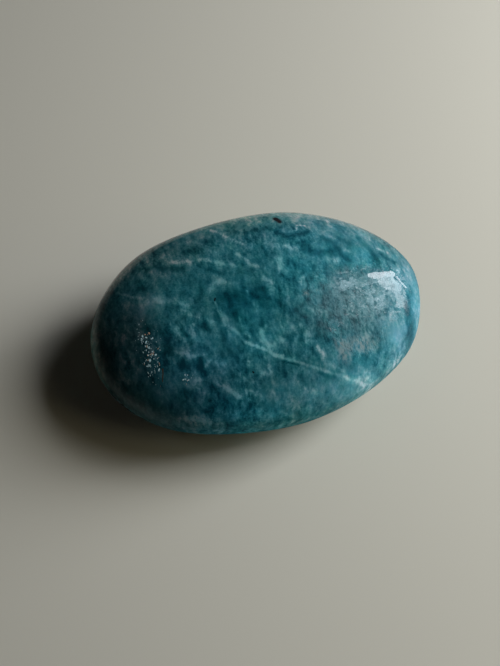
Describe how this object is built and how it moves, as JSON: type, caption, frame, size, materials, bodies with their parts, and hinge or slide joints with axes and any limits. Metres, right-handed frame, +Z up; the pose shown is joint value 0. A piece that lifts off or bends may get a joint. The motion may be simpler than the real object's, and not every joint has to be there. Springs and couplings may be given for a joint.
{
  "type": "polished amazonite stone",
  "caption": "Egg-shaped, slightly flattened pebble of blue-green feldspar, tumbled and polished, resting on a small flat spot.",
  "frame": {"origin": "middle of the stone's box, on the surface that it rests on", "axes": "+X along the stone's length towards its narrower end, +Y across it, +Z up"},
  "size_m": [0.033, 0.0212, 0.013],
  "materials": {
    "amazonite": "polished, with fine pits left on the top"
  },
  "bodies": {
    "root": {"amazonite_stone": "amazonite"}
  },
  "joints": []
}
